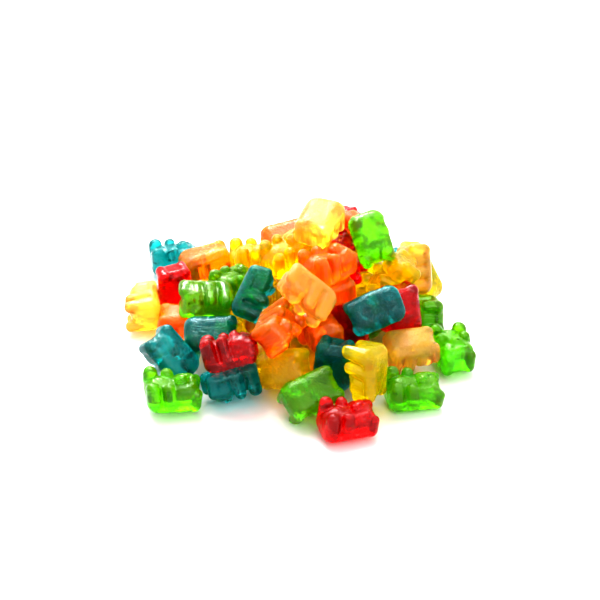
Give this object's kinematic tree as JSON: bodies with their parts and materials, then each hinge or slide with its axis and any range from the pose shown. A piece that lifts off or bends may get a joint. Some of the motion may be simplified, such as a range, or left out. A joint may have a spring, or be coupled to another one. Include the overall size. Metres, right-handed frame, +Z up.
{
  "type": "gummy bears",
  "caption": "Loose heap of small moulded fruit-jelly bears lying on a bare surface, as one lumpy solid with a flat foot.",
  "frame": {"origin": "middle of the heap's box, on the surface that it lies on", "axes": "+Z up, +X to the right of the heap's front, -Y out of the front"},
  "size_m": [0.1272, 0.1259, 0.0548],
  "materials": {
    "mixed_jelly": "smooth translucent fruit jelly in red, orange, golden yellow, pale pineapple, green and teal, faintly dull from its oil",
    "red_jelly": "clear red fruit jelly, moulded, smooth and faintly dull from its oil",
    "orange_jelly": "clear orange fruit jelly, moulded, smooth and faintly dull from its oil",
    "yellow_jelly": "clear golden yellow fruit jelly, moulded, smooth and faintly dull from its oil",
    "pale_jelly": "clear pale pineapple-coloured fruit jelly, moulded, smooth and faintly dull from its oil",
    "green_jelly": "clear green fruit jelly, moulded, smooth and faintly dull from its oil",
    "teal_jelly": "clear blue-green fruit jelly, moulded, smooth and faintly dull from its oil"
  },
  "bodies": {
    "root": {"gummy_heap": "mixed_jelly"}
  },
  "joints": []
}
